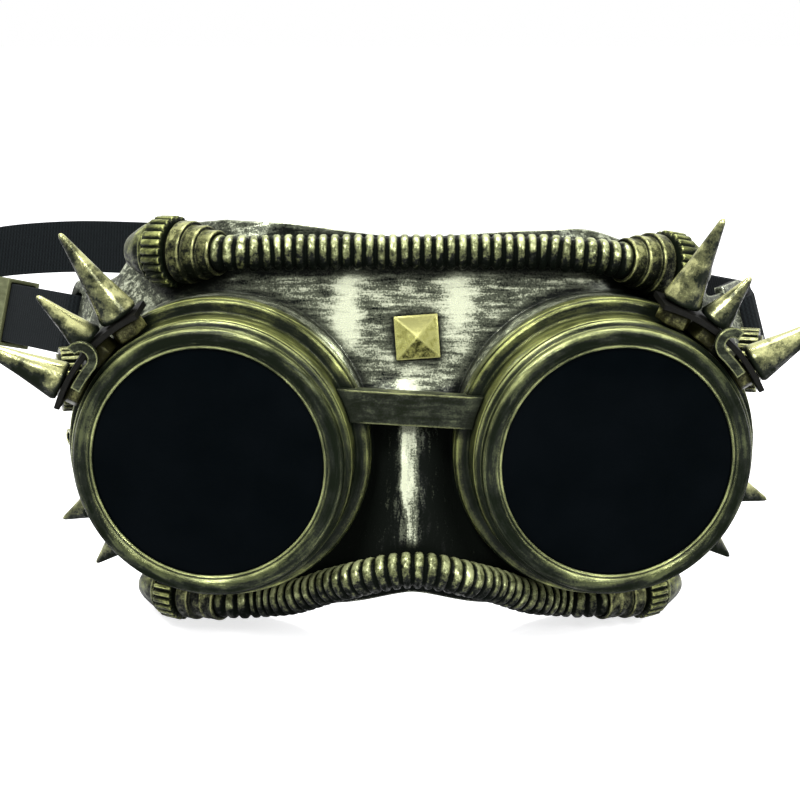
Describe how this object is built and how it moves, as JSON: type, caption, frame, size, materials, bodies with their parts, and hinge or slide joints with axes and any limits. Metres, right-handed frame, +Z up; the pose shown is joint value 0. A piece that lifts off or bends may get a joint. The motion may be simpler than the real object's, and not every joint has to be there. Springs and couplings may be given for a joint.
{
  "type": "spiked steampunk goggles",
  "caption": "Moulded goggle shell with screw-rim dark lenses, ribbed brow and cheek hoses with knurled ends, cone spikes at the temples and an elastic head strap with a slider.",
  "frame": {"origin": "face seat: on the plane of symmetry of the shell, level with the eyepiece axes, at the shell's front wall", "axes": "+X to the viewer's right across the face, +Y back towards the wearer, +Z up"},
  "size_m": [0.2309, 0.1389, 0.1016],
  "materials": {
    "aged_brass": "moulded plastic, black with brass colour dry-brushed over the raised parts",
    "rim_brass": "moulded plastic, satin antique brass, bright on the worn edges",
    "bright_brass": "moulded plastic, warm gold paint with dark lines",
    "spike_brass": "moulded plastic, metallised antique brass, streaked along the points",
    "dark_band": "black, flexible",
    "dark_lens": "smoked almost black, glossy",
    "rubber": "black",
    "elastic": "black woven elastic",
    "slider_metal": "dull olive brass plate"
  },
  "bodies": {
    "goggles": {"face_shell": "aged_brass", "eye_cup_left": "aged_brass", "eye_cup_right": "aged_brass", "bridge_bar": "aged_brass", "pyramid_stud": "bright_brass", "brow_hose": "aged_brass", "cheek_hose": "aged_brass", "brow_collar_left": "aged_brass", "brow_collar_right": "aged_brass", "brow_knurl_left": "aged_brass", "brow_knurl_right": "aged_brass", "brow_cap_left": "aged_brass", "brow_cap_right": "aged_brass", "cheek_collar_left": "aged_brass", "cheek_collar_right": "aged_brass", "cheek_knurl_left": "aged_brass", "cheek_knurl_right": "aged_brass", "cheek_cap_left": "aged_brass", "cheek_cap_right": "aged_brass", "spike_band_left": "dark_band", "spike_nuts_left": "bright_brass", "spike_upper_left": "spike_brass", "spike_middle_left": "spike_brass", "spike_lower_left": "spike_brass", "cones_left": "spike_brass", "side_disc_left": "aged_brass", "side_clip_left": "bright_brass", "side_bolt_left": "bright_brass", "bolt_washer_left": "dark_band", "spike_band_right": "dark_band", "spike_nuts_right": "bright_brass", "spike_upper_right": "spike_brass", "spike_middle_right": "spike_brass", "spike_lower_right": "spike_brass", "cones_right": "spike_brass", "side_disc_right": "aged_brass", "side_clip_right": "bright_brass", "side_bolt_right": "bright_brass", "bolt_washer_right": "dark_band", "head_strap": "elastic"},
    "screw_rim_left": {"rim_left": "rim_brass"},
    "screw_rim_right": {"rim_right": "rim_brass"},
    "lens_set_left": {"lens_left": "dark_lens", "gasket_left": "rubber"},
    "lens_set_right": {"lens_right": "dark_lens", "gasket_right": "rubber"},
    "slider": {"strap_slider": "slider_metal", "slider_bar": "slider_metal"}
  },
  "joints": [
    {"name": "rim_left_travel", "type": "slide", "parent": "goggles", "child": "lens_set_left", "axis": [-0.1045, -0.9945, 0], "range_m": [0, 0.003]},
    {"name": "rim_left_turn", "type": "hinge", "parent": "lens_set_left", "child": "screw_rim_left", "pos_m": [-0.0432, -0.0011, 0], "axis": [-0.1045, -0.9945, 0], "range_deg": [0, 540]},
    {"name": "rim_right_travel", "type": "slide", "parent": "goggles", "child": "lens_set_right", "axis": [0.1045, -0.9945, 0], "range_m": [0, 0.003]},
    {"name": "rim_right_turn", "type": "hinge", "parent": "lens_set_right", "child": "screw_rim_right", "pos_m": [0.0432, -0.0011, 0], "axis": [0.1045, -0.9945, 0], "range_deg": [0, 540]},
    {"name": "slider_along_strap", "type": "slide", "parent": "goggles", "child": "slider", "axis": [-0.7431, 0.6691, 0], "range_m": [-0.009, 0.012]}
  ],
  "couplings": [
    {"joint": "rim_left_travel", "follows": "rim_left_turn", "m_per_rad": 0.00031831},
    {"joint": "rim_right_travel", "follows": "rim_right_turn", "m_per_rad": 0.00031831}
  ]
}
